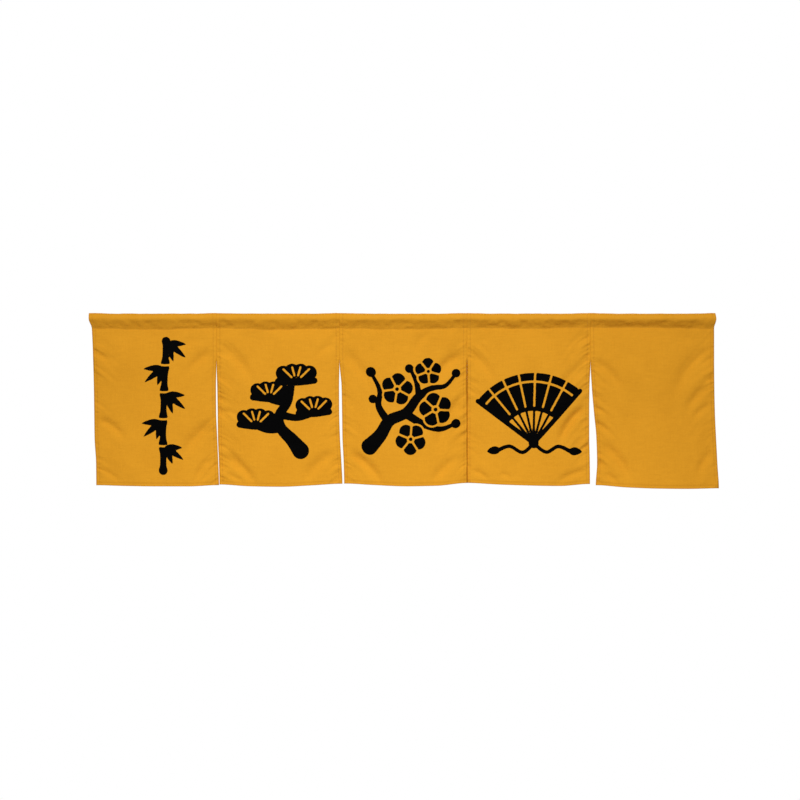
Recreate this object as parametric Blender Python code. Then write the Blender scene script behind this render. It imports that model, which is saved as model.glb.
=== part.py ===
"""A noren: a short, wide shop curtain of five hemmed cloth panels that hangs from a rod.

Each panel is one piece of cloth. Its top turns over to the back as a rod pocket, its two sides and
its foot have narrow hems, and it is sewn edge to edge to its neighbours from the top down to the
slit. Below that the panels hang free, with long soft creases that run in from the slits.

Metres, +Z up. The front faces -Y and +X is to the right as seen from the front. The origin is where
the rod bears on the inside of the pocket, at the middle of the curtain.
"""

import math
from dataclasses import dataclass

import bmesh
import bpy

MM = 0.001

# Cloth and hems
CLOTH = 1.2 * MM
HEM_WIDTH = 9 * MM
HEM_STEP = 1 * MM
HEM_EXTRA = 0.7 * MM
SEAM_GAP = 0.6 * MM

# Rod pocket: a tube that the rod rounds out above the line where its two walls are sewn together
POCKET_DROP = 41 * MM
POCKET_RADIUS = 13.5 * MM
POCKET_FLANK_STEPS = 2
POCKET_ARC_STEPS = 5
POCKET_SLACK = 0.06
SLACK_PITCH = 150 * MM
SAG_REACH = 70 * MM

# The top edge stands a little higher at each seam, where the hems are thick
SEAM_RISE = 1.5 * MM
SEAM_RISE_REACH = 40 * MM
SEAM_RISE_DEPTH = 60 * MM

# Free drop below the pocket
FOOT_DROP = 470 * MM
SLIT_DROP = 130 * MM
FULL_SWING_DROP = 290 * MM
FOLD_START = 30 * MM
FOLD_INSET = 26 * MM
CREASE_BOW = 0.07
DROP_ROWS = 20
PANEL_COLUMNS = 16

# A face counts as one of the cloth's two sides where its normal turns this far to the front or back
FACING = 0.1

# The left outer edge, the four seams and the right outer edge, along the foot of the pocket
SEAM_X_MM = (-850.0, -509.7, -173.6, 174.8, 512.3, 850.0)

# Depths below the top edge at which the tables give an edge's sway
SWAY_LEVELS_MM = (0, 16, 41, 130, 200, 270, 340, 410, 470)

# Shares of a panel's width at which the tables give its foot's depth
FOOT_SHARES = (0, 0.25, 0.5, 0.75, 1)

CLOTH_COLOUR = (0.738, 0.323, 0.023, 1.0)
CLOTH_ROUGHNESS = 0.8


@dataclass(frozen=True)
class Edge:
    """A panel's side edge: how far right of its seam it stands at each level, and its swing at the foot."""

    sway_mm: tuple
    swing_mm: float


@dataclass(frozen=True)
class Panel:
    """One cloth panel: its edges, its foot's depth at five places, its middle's belly, its foot's curl,
    and how much further out than the others its pocket stands, as a share."""

    name: str
    left: Edge
    right: Edge
    foot_mm: tuple
    belly_mm: float
    foot_curl_mm: float
    pocket_sag: float = 0.0


@dataclass(frozen=True)
class Crease:
    """A soft trough in a panel's front, between two points given as (across the panel, below the top)."""

    start_mm: tuple
    end_mm: tuple
    width_mm: float
    depth_mm: float


PANELS = (
    Panel("panel_1",
          Edge((-8.2, -8.0, -0.5, 3.3, 4.9, 5.7, 6.6, 10.7, 11.2), 7),
          Edge((0, 0, 0, 0, -1.4, -1.0, 1.8, 4.9, 6.8), 3),
          (469.1, 471.1, 472.2, 472.2, 468.7), -6, -6),
    Panel("panel_2",
          Edge((0, 0, 0, 0, 1.8, 2.9, 3.6, 6.4, 7.9), 6),
          Edge((0, 0, 0, 0, -1.1, -0.8, 1.2, 5.2, 7.9), 2),
          (467.1, 472.0, 473.2, 469.4, 465.0), -5, -6, 0.08),
    Panel("panel_3",
          Edge((0, 0, 0, 0, 5.5, 6.8, 7.8, 11.2, 12.6), 6),
          Edge((0, 0, 0, 0, 0, 1.0, 1.2, 1.2, 1.0), 0),
          (464.5, 468.7, 471.9, 470.4, 462.8), -6, -7),
    Panel("panel_4",
          Edge((0, 0, 0, 0, 0, -0.8, -1.0, -1.0, -0.8), 6),
          Edge((0, 0, 0, 0, -2.7, -3.3, -3.3, -1.9, -1.4), 2),
          (462.7, 466.9, 469.7, 471.1, 465.6), -5, -6, 0.1),
    Panel("panel_5",
          Edge((0, 0, 0, 0, 3.6, 9.8, 16.4, 18.3, 14.8), 10),
          Edge((3.3, 5.3, 0, 0.1, 1.0, 2.9, 6.3, 10.1, 13.7), 8),
          (469.1, 475.1, 478.2, 479.1, 477.5), -4, -9, 0.2),
)

CREASES = {
    "panel_1": (
        Crease((20, 292), (78, 334), 12, 5.6),
        Crease((322, 108), (262, 160), 14, 4.9),
        Crease((320, 306), (248, 380), 17, 7.4),
        Crease((318, 396), (276, 458), 12, 5.6),
    ),
    "panel_2": (
        Crease((18, 92), (92, 176), 14, 5.6),
        Crease((24, 391), (98, 464), 13, 6.7),
        Crease((314, 388), (238, 448), 16, 5.6),
    ),
    "panel_3": (
        Crease((16, 108), (76, 200), 16, 5.3),
        Crease((326, 112), (244, 208), 14, 9.0),
        Crease((330, 240), (270, 352), 16, 7.8),
        Crease((30, 391), (106, 462), 13, 6.4),
        Crease((318, 400), (252, 460), 14, 5.6),
    ),
    "panel_4": (
        Crease((16, 112), (74, 186), 14, 4.9),
        Crease((316, 145), (250, 222), 16, 4.9),
        Crease((320, 262), (258, 344), 12, 9.3),
    ),
    "panel_5": (
        Crease((16, 130), (80, 204), 13, 6.5),
        Crease((312, 100), (232, 210), 18, 6.2),
        Crease((322, 200), (262, 256), 13, 4.9),
        Crease((26, 362), (88, 440), 14, 6.7),
        Crease((322, 372), (284, 428), 12, 4.8),
    ),
}


def mix(first, second, share):
    """The value that lies at this share of the way from first to second."""
    return first + (second - first) * share


def smooth(value, low, high):
    """0 at low and below, 1 at high and above, and a smooth rise between them."""
    share = min(1.0, max(0.0, (value - low) / (high - low)))
    return share * share * (3 - 2 * share)


def arch(share):
    """0 at both ends of a width and 1 at its middle."""
    return 4 * share * (1 - share)


def curve_at(places, values, place):
    """The value at a place, on a smooth curve through the values given at the places."""
    last = len(places) - 1
    place = min(max(place, places[0]), places[last])
    i = next(k for k in range(last) if place <= places[k + 1])
    low, high = values[i], values[i + 1]
    before, after = values[max(i - 1, 0)], values[min(i + 2, last)]
    t = (place - places[i]) / (places[i + 1] - places[i])
    square = 2 * before - 5 * low + 4 * high - after
    cube = 3 * (low - high) + after - before
    return low + 0.5 * t * (high - before + t * (square + t * cube))


def sway_at(edge, depth):
    """How far right of its seam an edge stands at a depth."""
    return curve_at(SWAY_LEVELS_MM, edge.sway_mm, depth / MM) * MM


def pocket_outlines():
    """The pocket wall's outer and inner outlines in section, as points (y, z) from foot round to foot.

    Each is an arc round the rod's axis and two flanks that are tangent to it. The outer flanks start
    from the two faces of the drop, and the inner ones meet at one point above the stitching.
    """
    axis = CLOTH - POCKET_RADIUS
    foot = CLOTH - POCKET_DROP
    away = math.hypot(CLOTH / 2, axis - foot)
    lean = math.asin(POCKET_RADIUS / away) - math.atan2(CLOTH / 2, axis - foot)
    inner_radius = POCKET_RADIUS - CLOTH
    inner_foot = axis - inner_radius / math.sin(lean)

    def outline(radius, start):
        turns = [mix(-lean, math.pi / 2, k / POCKET_ARC_STEPS) for k in range(POCKET_ARC_STEPS + 1)]
        arc = [(-radius * math.cos(turn), axis + radius * math.sin(turn)) for turn in turns]
        steps = [k / POCKET_FLANK_STEPS for k in range(POCKET_FLANK_STEPS)]
        flank = [(mix(start[0], arc[0][0], k), mix(start[1], arc[0][1], k)) for k in steps]
        front = flank + arc
        return front + [(-y, z) for y, z in reversed(front[:-1])]

    return outline(POCKET_RADIUS, (-CLOTH / 2, foot)), outline(inner_radius, (0.0, inner_foot))


def row_heights():
    """Heights of the drop's rows, from the pocket's foot down to the panel's foot."""
    hem_top = FOOT_DROP - HEM_WIDTH
    plain = [mix(POCKET_DROP, hem_top - HEM_STEP, k / DROP_ROWS) for k in range(DROP_ROWS + 1)]
    return [CLOTH - depth for depth in [*plain, hem_top, FOOT_DROP]]


def column_cuts(width):
    """Places across a panel where its faces are cut: at each hem's step, and in even columns between."""
    inset = HEM_WIDTH + HEM_STEP
    plain = [mix(inset, width - inset, k / PANEL_COLUMNS) for k in range(PANEL_COLUMNS + 1)]
    return [HEM_WIDTH, *plain, width - HEM_WIDTH]


def straight_panel(width):
    """A panel with no sway, swing or crease: its section drawn once and extruded across its width."""
    bm = bmesh.new()
    outer_outline, inner_outline = pocket_outlines()
    outer = [bm.verts.new((0, y, z)) for y, z in outer_outline]
    inner = [bm.verts.new((0, y, z)) for y, z in inner_outline[:-1]]
    inner.append(inner[0])
    for k in range(len(outer) - 1):
        bm.faces.new((outer[k], outer[k + 1], inner[k + 1], inner[k]))
    bm.faces.new((outer[0], inner[0], outer[-1]))
    front, back = outer[0], outer[-1]
    for height in row_heights()[1:]:
        next_front = bm.verts.new((0, -CLOTH / 2, height))
        next_back = bm.verts.new((0, CLOTH / 2, height))
        bm.faces.new((front, back, next_back, next_front))
        front, back = next_front, next_back
    extruded = bmesh.ops.extrude_face_region(bm, geom=bm.faces[:], use_keep_orig=True)["geom"]
    far_side = [v for v in extruded if isinstance(v, bmesh.types.BMVert)]
    bmesh.ops.translate(bm, verts=far_side, vec=(width, 0, 0))
    for cut in column_cuts(width):
        everything = bm.verts[:] + bm.edges[:] + bm.faces[:]
        bmesh.ops.bisect_plane(bm, geom=everything, plane_co=(cut, 0, 0), plane_no=(1, 0, 0))
    bmesh.ops.recalc_face_normals(bm, faces=bm.faces[:])
    split_along_creases(bm, width)
    return bm


def split_along_creases(bm, width):
    """Splits each face of the cloth's two sides from its upper outer corner to its lower inner one.

    That is the way the creases run, and it leaves the front and the back with the same facets, so
    that they stay parallel in a crease.
    """
    for face in [face for face in bm.faces if abs(face.normal.y) > FACING]:
        outward = math.copysign(1, face.calc_center_median().x - width / 2)
        corners = sorted(face.verts, key=lambda vert: vert.co.z + outward * vert.co.x)
        bmesh.utils.face_split(face, corners[0], corners[-1])


def crease_at(crease, across, depth):
    """How far back a crease sets the cloth at a place on its panel.

    It bows above the straight line between its ends by a share of its length.
    """
    start = [value * MM for value in crease.start_mm]
    end = [value * MM for value in crease.end_mm]
    run = (end[0] - start[0], end[1] - start[1])
    length = math.hypot(*run)
    beside = (across - start[0], depth - start[1])
    along = (beside[0] * run[0] + beside[1] * run[1]) / length**2
    off = (beside[0] * run[1] - beside[1] * run[0]) / length
    off -= math.copysign(4 * CREASE_BOW * length, run[0]) * along * (1 - along)
    ends = smooth(along, -0.25, 0.25) * (1 - smooth(along, 0.55, 1.35))
    return crease.depth_mm * MM * ends * math.exp(-((off / (crease.width_mm * MM)) ** 2))


def fold_at(panel, width, across, depth):
    """How far back of the rod's plane the drop hangs, from its swing, belly, curled foot and creases."""
    share = across / width
    below = (depth - POCKET_DROP) / (FOOT_DROP - POCKET_DROP)
    swing = mix(panel.left.swing_mm, panel.right.swing_mm, share)
    swing *= smooth(depth, SLIT_DROP, FULL_SWING_DROP)
    belly = panel.belly_mm * arch(share) * math.sin(math.pi * below)
    curl = panel.foot_curl_mm * arch(share) * below**4
    inset = smooth(min(across, width - across), 0, FOLD_INSET)
    creases = sum(crease_at(crease, across, depth) for crease in CREASES[panel.name]) * inset
    return (swing + belly + curl) * MM + creases * smooth(depth, POCKET_DROP, POCKET_DROP + FOLD_START)


def seam_rise_at(width, across, depth):
    """How much higher the cloth stands near the panel's two sides, at the top."""
    sides = sum(math.exp(-((side / SEAM_RISE_REACH) ** 2)) for side in (across, width - across))
    return SEAM_RISE * sides * (1 - smooth(depth, 0, SEAM_RISE_DEPTH))


def hang(panel, left_x, right_x, point):
    """Moves a point of the straight panel to where it hangs."""
    width = right_x - left_x
    across, y, z = point
    depth = CLOTH - z
    share = across / width
    x = mix(
        left_x + sway_at(panel.left, depth),
        right_x + sway_at(panel.right, depth),
        share,
    )
    below = smooth(depth, POCKET_DROP, FOOT_DROP)
    foot = curve_at(FOOT_SHARES, panel.foot_mm, share) * MM
    z += seam_rise_at(width, across, depth) - below * (foot - FOOT_DROP)
    if depth > POCKET_DROP:
        in_hem = (
            min(across, width - across) < HEM_WIDTH + HEM_STEP / 2
            or depth > FOOT_DROP - HEM_WIDTH - HEM_STEP / 2
        )
        thicker = HEM_EXTRA if in_hem and y > 0 else 0
        return x, y + thicker + fold_at(panel, width, across, depth), z
    wave = math.sin(2 * math.pi * x / SLACK_PITCH) * math.cos(x / SLACK_PITCH)
    sag = panel.pocket_sag * smooth(min(across, width - across), 0, SAG_REACH)
    return x, y * (1 + POCKET_SLACK * wave + sag), z


def cloth_material(name):
    """Mustard yellow woven cloth."""
    material = bpy.data.materials.new(name)
    material.use_nodes = True
    shader = material.node_tree.nodes["Principled BSDF"]
    shader.inputs["Base Color"].default_value = CLOTH_COLOUR
    shader.inputs["Roughness"].default_value = CLOTH_ROUGHNESS
    shader.inputs["Metallic"].default_value = 0.0
    return material


def make_panel(panel, left_x, right_x):
    """Builds one panel as an object of its own."""
    bm = straight_panel(right_x - left_x)
    for vert in bm.verts:
        vert.co = hang(panel, left_x, right_x, vert.co)
    mesh = bpy.data.meshes.new(panel.name)
    bm.to_mesh(mesh)
    bm.free()
    mesh.shade_smooth()
    mesh.set_sharp_from_angle(angle=math.radians(50))
    mesh.materials.append(cloth_material(panel.name + "_cloth"))
    bpy.context.scene.collection.objects.link(bpy.data.objects.new(panel.name, mesh))


def main():
    """Builds the five panels side by side."""
    for old in list(bpy.data.objects):
        bpy.data.objects.remove(old)
    for k, panel in enumerate(PANELS):
        left_x = SEAM_X_MM[k] * MM + SEAM_GAP / 2
        right_x = SEAM_X_MM[k + 1] * MM - SEAM_GAP / 2
        make_panel(panel, left_x, right_x)


main()
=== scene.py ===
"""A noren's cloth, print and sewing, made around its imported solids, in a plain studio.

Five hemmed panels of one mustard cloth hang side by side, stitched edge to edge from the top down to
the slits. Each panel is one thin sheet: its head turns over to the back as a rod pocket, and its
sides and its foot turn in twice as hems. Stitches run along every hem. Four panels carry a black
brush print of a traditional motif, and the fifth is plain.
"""

import logging
import math
from dataclasses import dataclass, field
from enum import Enum

import bmesh
import bpy
import numpy as np
from mathutils import Matrix, Vector


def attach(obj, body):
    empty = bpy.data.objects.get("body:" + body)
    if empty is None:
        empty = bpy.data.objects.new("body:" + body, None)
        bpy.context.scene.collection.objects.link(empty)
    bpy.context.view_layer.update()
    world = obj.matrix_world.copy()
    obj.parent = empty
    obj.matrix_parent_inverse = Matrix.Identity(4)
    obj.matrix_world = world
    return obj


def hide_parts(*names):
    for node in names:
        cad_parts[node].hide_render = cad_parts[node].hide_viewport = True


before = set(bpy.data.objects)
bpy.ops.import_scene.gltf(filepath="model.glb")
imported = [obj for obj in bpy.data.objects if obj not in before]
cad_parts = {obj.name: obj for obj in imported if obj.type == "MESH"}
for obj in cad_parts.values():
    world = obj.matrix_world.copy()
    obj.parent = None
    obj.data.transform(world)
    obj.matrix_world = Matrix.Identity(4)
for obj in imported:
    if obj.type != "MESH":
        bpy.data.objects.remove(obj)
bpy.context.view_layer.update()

MM = 0.001
BODY = "root"
log = logging.getLogger("noren")

Colour = tuple[float, float, float]
Table = tuple[float, ...]
Place = tuple[float, float]
Socket = bpy.types.NodeSocket

# Cloth and hems
CLOTH = 0.36 * MM
LAYER = 0.42 * MM
SIDE_HEM = 10 * MM
FOOT_HEM = 9 * MM
STITCH_INSET = 1 * MM
CUT_EDGE_INSET = 1.8 * MM
FRONT_Y = -0.3 * MM

# Rod pocket and drop, as the solids have them
TOP_Z = 1.2 * MM
POCKET_DROP = 41 * MM
POCKET_RADIUS = 13.5 * MM
POCKET_FLAP = 4.5 * MM
POCKET_SLACK = 0.06
SLACK_PITCH = 150 * MM
SAG_REACH = 70 * MM
SEAM_RISE = 1.5 * MM
SEAM_RISE_REACH = 40 * MM
SEAM_RISE_DEPTH = 60 * MM
FOOT_DROP = 470 * MM
SLIT_DROP = 130 * MM
CURL_REACH = 4 * MM
SEAM_PRESS = 0.12 * MM
FULL_SWING_DROP = 290 * MM
FOLD_START = 30 * MM
FOLD_INSET = 26 * MM

# How far a crease bows above the straight line between its ends, as a share of its length
CREASE_BOW = 0.07

# Shares of a panel's width at which the tables give its foot's depth
FOOT_SHARES = (0, 0.25, 0.5, 0.75, 1)

# What stands for a place with no ink near it
FAR_MM = 30.0

# The left outer edge, the four seams and the right outer edge, along the foot of the pocket
SEAM_X_MM = (-850.0, -509.7, -173.6, 174.8, 512.3, 850.0)

# Places along the pocket's foot, at each edge and each panel's middle, and how far its stitched line
# stands there above its even depth
LINE_X_MM = (-850, -680, -510, -342, -174, 0, 175, 344, 512, 681, 850)
LINE_RISE_MM = (1.6, -0.6, 2.8, -1.4, 1.8, -0.2, 2.8, 1.6, 4.6, 3.6, 1.0)

# Depths below the top edge at which the tables give an edge's sway
SWAY_LEVELS_MM = (0, 16, 41, 130, 200, 270, 340, 410, 470)


def mix(first: float, second: float, share: float) -> float:
    """The value that lies at a share of the way from first to second.

    Args:
        first: The value at share 0.
        second: The value at share 1.
        share: A number or an array of them.

    Returns:
        The mixed value, an array if the share is one.
    """
    return first + (second - first) * share


def smooth(value: np.ndarray, low: float, high: float) -> np.ndarray:
    """A soft step.

    Args:
        value: Where to read it.
        low: The step is 0 up to here.
        high: The step is 1 from here.

    Returns:
        0 to 1, of the value's shape.
    """
    share = np.clip((value - low) / (high - low), 0, 1)
    return share * share * (3 - 2 * share)


def curve(places: Table, values: Table, at: np.ndarray) -> np.ndarray:
    """A smooth curve through given points, which never passes the values on either side.

    Args:
        places: Where the values are given, in rising order.
        values: The values there.
        at: Where to read the curve.

    Returns:
        The curve's values.
    """
    places, values = np.array(places, float), np.array(values, float)
    steps = np.diff(values) / np.diff(places)
    same_way = steps[:-1] * steps[1:] > 0
    total = np.where(same_way, steps[:-1] + steps[1:], 1)
    slopes = np.concatenate([[0], np.where(same_way, 2 * steps[:-1] * steps[1:] / total, 0), [0]])
    held = np.clip(at, places[0], places[-1])
    k = np.clip(np.searchsorted(places, held) - 1, 0, len(places) - 2)
    span = places[k + 1] - places[k]
    t, rise = (held - places[k]) / span, values[k + 1] - values[k]
    low, high = slopes[k] * span, slopes[k + 1] * span
    return values[k] + low * t + (3 * rise - 2 * low - high) * t**2 + (low + high - 2 * rise) * t**3


def bell(value: np.ndarray, reach: float) -> np.ndarray:
    """1 at zero and a third at the reach to either side, on a smooth bell curve."""
    return np.exp(-((value / reach) ** 2))


def ripple(u: np.ndarray, v: np.ndarray, seed: int) -> np.ndarray:
    """Soft unevenness that is the same each run.

    Args:
        u: Place along the first direction, in units of one bump.
        v: Place along the second direction, in the same units.
        seed: Which pattern.

    Returns:
        -1 to 1, of the places' shape.
    """
    heights = np.random.default_rng(seed).uniform(-1, 1, (128, 128))
    column, row = np.floor(u).astype(int), np.floor(v).astype(int)
    over, up = smooth(u - column, 0, 1), smooth(v - row, 0, 1)
    low = mix(heights[column % 128, row % 128], heights[(column + 1) % 128, row % 128], over)
    high = mix(
        heights[column % 128, (row + 1) % 128],
        heights[(column + 1) % 128, (row + 1) % 128],
        over,
    )
    return mix(low, high, up)


@dataclass(frozen=True)
class Unevenness:
    """One size of soft unevenness over a panel.

    Attributes:
        height_mm: The most it comes to, to either side of nothing.
        first_mm: One bump's length along the first direction.
        second_mm: One bump's length along the second.
        pattern: Which of the panel's patterns it has.
    """

    height_mm: float
    first_mm: float
    second_mm: float
    pattern: int

    def at(
        self, first: np.ndarray, second: np.ndarray, seed: int, skip: np.ndarray | int = 0
    ) -> np.ndarray:
        """What it comes to at given places.

        Args:
            first: Places along the first direction, in metres.
            second: Places along the second, in metres.
            seed: The panel's seed.
            skip: How many bumps further on in the pattern it is read.

        Returns:
            Metres, of the places' shape.
        """
        bumps = first / (self.first_mm * MM) + skip, second / (self.second_mm * MM)
        return self.height_mm * MM * ripple(*bumps, seed + self.pattern)


# Waves over a whole panel
BROAD_WAVES = Unevenness(2.0, 95, 120, 0)
SMALL_WAVES = Unevenness(1.0, 44, 60, 1)

# Puckers that run in from the side hems, the spots where they are strong, and how they wander
PULLS = Unevenness(1.35, 6, 50, 2)
DRAGS = Unevenness(2.2, 15, 70, 3)
STRONG_SPOTS = Unevenness(1.0, 52, 400, 4)
WANDER = Unevenness(6.0, 40, 60, 11)

# Ticks on the side hems, and puckers at the foot and below the pocket
HEM_TICKS = Unevenness(0.9, 4.6, 30, 10)
FOOT_PULLS = Unevenness(0.25, 8, 22, 5)
HEAD_PULLS = Unevenness(0.3, 9, 24, 6)

# Crumples in the pocket's walls, and the wavering of the sewn line below it
CRUMPLES = Unevenness(1.2, 19, 13, 7)
SMALL_CRUMPLES = Unevenness(0.6, 9, 9, 8)
LINE_WAVER = Unevenness(1.1, 24, 1, 9)

# How far on in a pattern a panel's right half and the pocket's back wall read it
RIGHT_HALF_SKIP = 500
BACK_WALL_SKIP = 900


def put_in_scene(name: str, data: bpy.types.ID) -> bpy.types.Object:
    """An object at the origin, linked to the scene, for a mesh, a light or a camera."""
    placed = bpy.data.objects.new(name, data)
    bpy.context.scene.collection.objects.link(placed)
    return placed


def read_array(items: bpy.types.bpy_prop_collection, name: str, width: int) -> np.ndarray:
    """One property of many mesh items.

    Args:
        items: The vertices, loops or faces.
        name: The property.
        width: How many numbers each item has.

    Returns:
        One row per item.
    """
    values = np.empty(len(items) * width)
    items.foreach_get(name, values)
    return values.reshape(-1, width)


class Mark(Enum):
    """What a stroke does to the print."""

    INK = "ink"
    BARE = "bare"


@dataclass(frozen=True)
class Stroke:
    """One pull of the brush.

    Attributes:
        points: Rows of x, y and the brush's width, in millimetres.
        mark: Whether it lays ink or leaves the cloth bare.
    """

    points: tuple[tuple[float, float, float], ...]
    mark: Mark = Mark.INK

    def line(self, steps: int = 6) -> np.ndarray:
        """The stroke's points on a smooth curve.

        Args:
            steps: How many to each span of the table.

        Returns:
            Rows of x, y and width.
        """
        rows = np.array(self.points, float)
        if len(rows) < 3:
            return rows
        held = np.vstack([rows[:1], rows, rows[-1:]])
        smoothed = []
        for before, low, high, after in zip(held, held[1:], held[2:], held[3:]):
            for share in np.arange(steps) / steps:
                square = 2 * before - 5 * low + 4 * high - after
                cube = 3 * (low - high) + after - before
                away = 0.5 * share * (high - before + share * (square + share * cube))
                smoothed.append(low + away)
        return np.array([*smoothed, rows[-1]])

    def reach(self, x: np.ndarray, y: np.ndarray) -> np.ndarray:
        """How far places lie outside the stroke.

        Args:
            x: Places across, in millimetres.
            y: Places up, in millimetres.

        Returns:
            The distance to the stroke's edge, negative inside it.
        """
        line = self.line()
        ends = line[1:] if len(line) > 1 else line
        nearest = np.full(x.shape, np.inf)
        for (low_x, low_y, low_width), (high_x, high_y, high_width) in zip(line, ends):
            run_x, run_y = high_x - low_x, high_y - low_y
            square = max(run_x**2 + run_y**2, 1e-9)
            share = np.clip(((x - low_x) * run_x + (y - low_y) * run_y) / square, 0, 1)
            away = np.hypot(x - low_x - share * run_x, y - low_y - share * run_y)
            nearest = np.minimum(nearest, away - mix(low_width, high_width, share) / 2)
        return nearest


def dot(x: float, y: float, size: float, mark: Mark = Mark.INK) -> Stroke:
    """A round dab of the brush, with its middle and its size in millimetres."""
    return Stroke(((x, y, size),), mark)


def straight(start: Place, end: Place, width: float, mark: Mark = Mark.INK) -> Stroke:
    """A straight pull of even width from one place to another, in millimetres."""
    return Stroke(((*start, width), (*end, width)), mark)


def out_from(x: float, y: float, distance: float, heading: float) -> Place:
    """The place at a distance from another, in a direction given in degrees from +x."""
    angle = math.radians(heading)
    return x + distance * math.cos(angle), y + distance * math.sin(angle)


def leaf(x: float, y: float, heading: float, length: float, width: float) -> Stroke:
    """A leaf, thin at its root and pointed at its tip.

    Args:
        x: The root's place across.
        y: The root's place up.
        heading: The way it points, in degrees from +x.
        length: Root to tip.
        width: Its widest.

    Returns:
        One stroke.
    """
    shares = ((0.0, 0.3), (0.35, 1.0), (0.7, 0.72), (1.0, 0.1))
    return Stroke(tuple((*out_from(x, y, length * s, heading), width * w) for s, w in shares))


class Motif:
    """A brush print about its own middle, in millimetres, with +x to the right and +y up."""

    def strokes(self) -> list[Stroke]:
        """The strokes in the order in which they are laid."""
        raise NotImplementedError

    def edge(self, x: np.ndarray, y: np.ndarray) -> np.ndarray:
        """How far places lie outside the ink.

        Args:
            x: Places across, in millimetres.
            y: Places up, in millimetres.

        Returns:
            The distance to the ink's edge, negative in the ink.
        """
        distance = np.full(x.shape, np.inf)
        for stroke in self.strokes():
            reach = stroke.reach(x, y)
            if stroke.mark is Mark.INK:
                distance = np.minimum(distance, reach)
            else:
                distance = np.maximum(distance, -reach)
        return distance


@dataclass(frozen=True)
class Bamboo(Motif):
    """An upright bamboo stem in even lengths, with leaves in hanging clusters.

    Attributes:
        height: The stem's height.
        stem: The stem's width.
        lengths: How many lengths it has between its joints.
        joint: The bare gap at each joint.
        lean: How far the top stands to the right of the foot.
        clusters: Rows of x, y, the middle leaf's heading and its length.
    """

    height: float = 366
    stem: float = 19
    lengths: int = 5
    joint: float = 5.5
    lean: float = 16
    clusters: tuple[tuple[float, float, float, float], ...] = (
        (12, 172, -40, 64),
        (-1, 104, 218, 64),
        (8, 32, -38, 66),
        (-8, -42, 220, 64),
        (2, -112, -36, 58),
    )

    def strokes(self) -> list[Stroke]:
        """The stem from its foot up, then its leaves."""
        step = self.height / self.lengths
        laid = []
        for k in range(self.lengths):
            low = k * step - self.height / 2
            rows = [low + step * share for share in (0.1, 0.3, 0.7, 0.9)]
            widths = (1.3, 0.95, 0.95, 1.25)
            places = ((self.lean * y / self.height, y) for y in rows)
            laid.append(Stroke(tuple((*p, self.stem * width) for p, width in zip(places, widths))))
        for k in range(1, self.lengths):
            y = k * step - self.height / 2
            x, half = self.lean * y / self.height, self.stem
            rows = ((x - half, y + 2, self.joint), (x, y, self.joint), (x + half, y + 2, self.joint))
            laid.append(Stroke(rows, Mark.BARE))
        for x, y, heading, length in self.clusters:
            for spread, size in ((-34, 0.84), (0, 1.0), (34, 0.78)):
                laid.append(leaf(x, y, heading + spread, length * size, 17))
        return laid


@dataclass(frozen=True)
class PineBough(Motif):
    """A leaning pine with rounded pads of needles.

    Attributes:
        trunk: Rows of x, y and width, from the foot up.
        boughs: The side boughs, each as such rows.
        pads: Rows of each pad's middle x and y, its width and its height.
    """

    trunk: tuple[tuple[float, float, float], ...] = (
        (44, -112, 46),
        (22, -82, 36),
        (-8, -48, 30),
        (-12, -14, 26),
        (12, 22, 24),
        (22, 66, 20),
    )
    boughs: tuple[tuple[tuple[float, float, float], ...], ...] = (
        ((-8, -50, 22), (-44, -54, 18), (-84, -42, 14)),
        ((-10, -12, 22), (40, -22, 18), (88, -10, 14)),
        ((6, 18, 18), (-28, 24, 15), (-52, 34, 12)),
    )
    pads: tuple[tuple[float, float, float, float], ...] = (
        (-76, -24, 112, 58),
        (84, 8, 104, 58),
        (-38, 50, 112, 56),
        (36, 96, 120, 60),
    )

    def pad(self, x: float, y: float, width: float, height: float) -> list[Stroke]:
        """One pad: a row of round dabs over a flat base, with bare lines that fan out as needles.

        Args:
            x: Its middle across.
            y: Its middle up.
            width: Its width.
            height: Its height.

        Returns:
            Its strokes in order.
        """
        base = y - height / 2 + 10
        half = width / 2 - 10
        laid = [Stroke(((x - half, base + 2, 17), (x, base, 22), (x + half, base + 2, 17)))]
        for across in (-0.3, -0.1, 0.1, 0.3):
            lift = height * (0.16 - 1.1 * across**2)
            laid.append(dot(x + width * across, y + lift, height * 0.68))
        for heading in (44, 74, 106, 136):
            along, up = out_from(0, 0, 1, heading)
            reaches = height * 0.3, height * (0.98 - 0.34 * up + 0.1 * abs(along))
            ends = (out_from(x, base, reach, heading) for reach in reaches)
            laid.append(straight(*ends, 5.4, Mark.BARE))
        return laid

    def strokes(self) -> list[Stroke]:
        """The trunk and boughs, then the pads."""
        laid = [Stroke(self.trunk), *(Stroke(bough) for bough in self.boughs)]
        for row in self.pads:
            laid += self.pad(*row)
        return laid


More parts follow.
